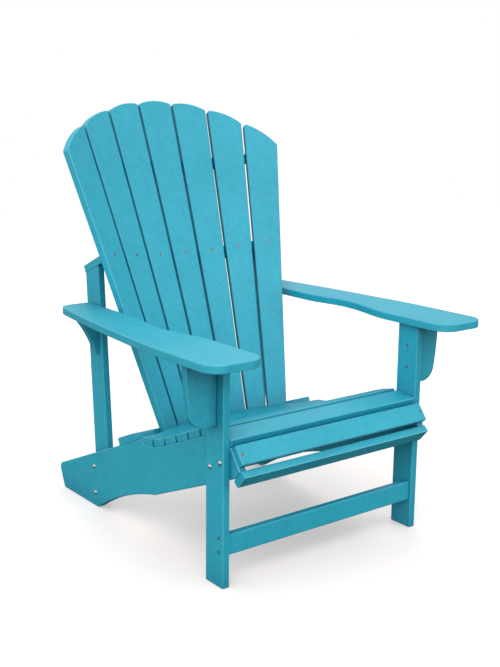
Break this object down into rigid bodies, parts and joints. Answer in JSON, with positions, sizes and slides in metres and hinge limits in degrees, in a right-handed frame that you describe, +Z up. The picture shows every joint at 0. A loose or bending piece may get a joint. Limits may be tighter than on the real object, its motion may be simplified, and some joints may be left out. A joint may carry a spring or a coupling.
{
  "type": "adirondack chair",
  "caption": "Fixed adirondack garden chair with a fanned slat back, sloping slatted seat and wide flat arms.",
  "frame": {"origin": "middle of the footprint's bounding box, on the floor", "axes": "+X left to right as seen from the front, +Y from the front to the rear, +Z up"},
  "size_m": [0.826, 0.9082, 1.0638],
  "materials": {
    "board": "matte, fine grained, coloured through",
    "bolt_steel": "zinc plated, satin",
    "screw_steel": "dull coated"
  },
  "bodies": {
    "root": {"apron_screws": "screw_steel", "arm_left": "board", "arm_right": "board", "arm_screws": "screw_steel", "back_slat_1": "board", "back_slat_2": "board", "back_slat_3": "board", "back_slat_4": "board", "back_slat_5": "board", "back_slat_6": "board", "back_slat_7": "board", "back_slat_screws": "screw_steel", "bolt_nuts": "bolt_steel", "bolt_washers": "bolt_steel", "brace_screws": "screw_steel", "bracket_screws": "screw_steel", "carriage_bolts": "bolt_steel", "front_apron_lower": "board", "front_apron_upper": "board", "front_arm_bracket_left": "board", "front_arm_bracket_right": "board", "front_leg_left": "board", "front_leg_right": "board", "front_stretcher": "board", "lower_back_brace": "board", "mid_back_brace": "board", "rear_arm_bracket_left": "board", "rear_arm_bracket_right": "board", "rear_upright_left": "board", "rear_upright_right": "board", "seat_slat_1": "board", "seat_slat_2": "board", "seat_slat_3": "board", "seat_slat_4": "board", "seat_slat_5": "board", "seat_slat_6": "board", "seat_slat_7": "board", "seat_slat_screws": "screw_steel", "side_rail_left": "board", "side_rail_right": "board", "stretcher_screws": "screw_steel", "upper_back_brace": "board", "upper_brace_screws": "screw_steel"}
  },
  "joints": []
}
